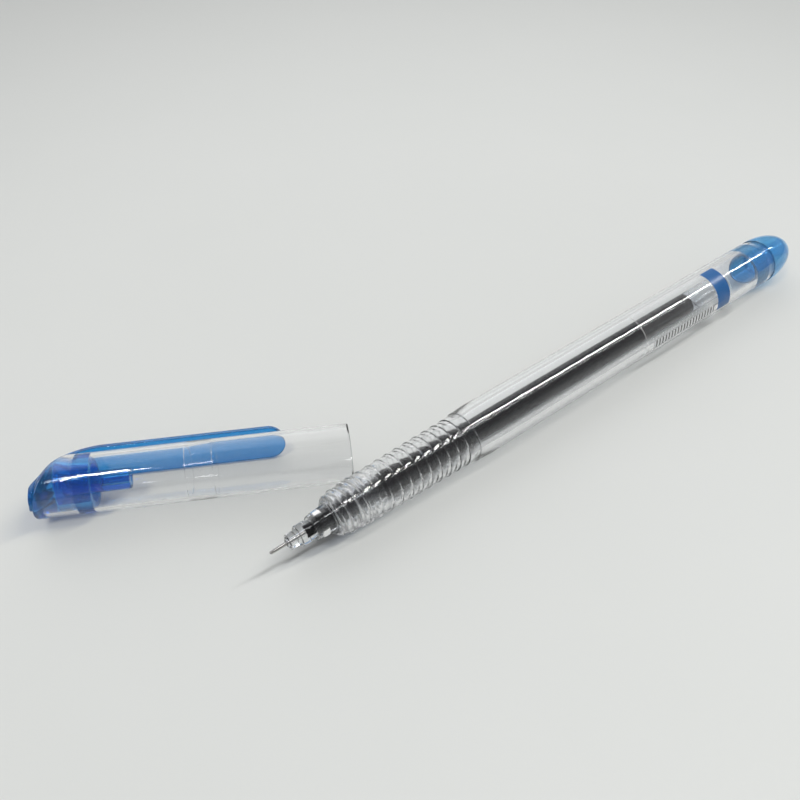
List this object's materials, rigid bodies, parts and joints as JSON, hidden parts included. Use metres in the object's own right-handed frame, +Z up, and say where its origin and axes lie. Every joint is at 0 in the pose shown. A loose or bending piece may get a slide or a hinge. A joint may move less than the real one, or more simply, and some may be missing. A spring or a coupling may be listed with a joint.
{
  "type": "gel pen",
  "caption": "Clear gel pen with a ribbed grip, needle tip, screw-in nose and blue rear plug, lying beside its taken-off clear cap with a blue crown and pocket clip.",
  "frame": {"origin": "middle of the footprint of the pen and the cap beside it, on the table they lie on", "axes": "+X along the pen from its writing point to its blue end plug, +Z up from the table, +Y from the pen towards the side where the cap lies"},
  "size_m": [0.1682, 0.0448, 0.0105],
  "materials": {
    "clear_barrel": "clear gloss",
    "printed_film": "clear film with a blue printed band and pale bars",
    "clear_nose": "clear gloss",
    "clear_holder": "clear gloss",
    "steel_needle": "polished",
    "hard_ball": "polished",
    "refill_plastic": "translucent",
    "ink": "wet gloss",
    "follower_gel": "clear gel",
    "blue_plug": "translucent gloss",
    "clear_cap": "clear gloss",
    "blue_crown": "translucent gloss"
  },
  "bodies": {
    "barrel": {"barrel": "clear_barrel", "label_film": "printed_film"},
    "refill": {"refill_tube": "refill_plastic", "tip_holder": "clear_holder", "needle_tube": "steel_needle", "ink_column": "ink", "gel_follower": "follower_gel"},
    "nose_cone": {"nose_cone": "clear_nose"},
    "writing_ball": {"writing_ball": "hard_ball"},
    "end_plug": {"end_plug": "blue_plug"},
    "cap": {"cap_tube": "clear_cap", "cap_crown": "blue_crown"}
  },
  "joints": [
    {"name": "refill_slide", "type": "slide", "parent": "barrel", "child": "refill", "axis": [-1, 0, 0], "range_m": [0, 0.0084]},
    {"name": "nose_turn", "type": "hinge", "parent": "refill", "child": "nose_cone", "pos_m": [-0.0444, -0.01722, 0.0051], "axis": [-1, 0, 0], "range_deg": [0, 2520]},
    {"name": "ball_roll", "type": "hinge", "parent": "refill", "child": "writing_ball", "pos_m": [-0.05603, -0.01722, 0.0051], "axis": [0, 1, 0], "continuous": true},
    {"name": "end_plug_pull", "type": "slide", "parent": "barrel", "child": "end_plug", "axis": [1, 0, 0], "range_m": [0, 0.012]},
    {"name": "cap_pull", "type": "slide", "parent": "barrel", "child": "cap", "axis": [-0.8707, 0.4918, 0], "range_m": [0, 0.06]}
  ],
  "couplings": [
    {"joint": "nose_turn", "follows": "refill_slide", "rad_per_m": 5236}
  ]
}
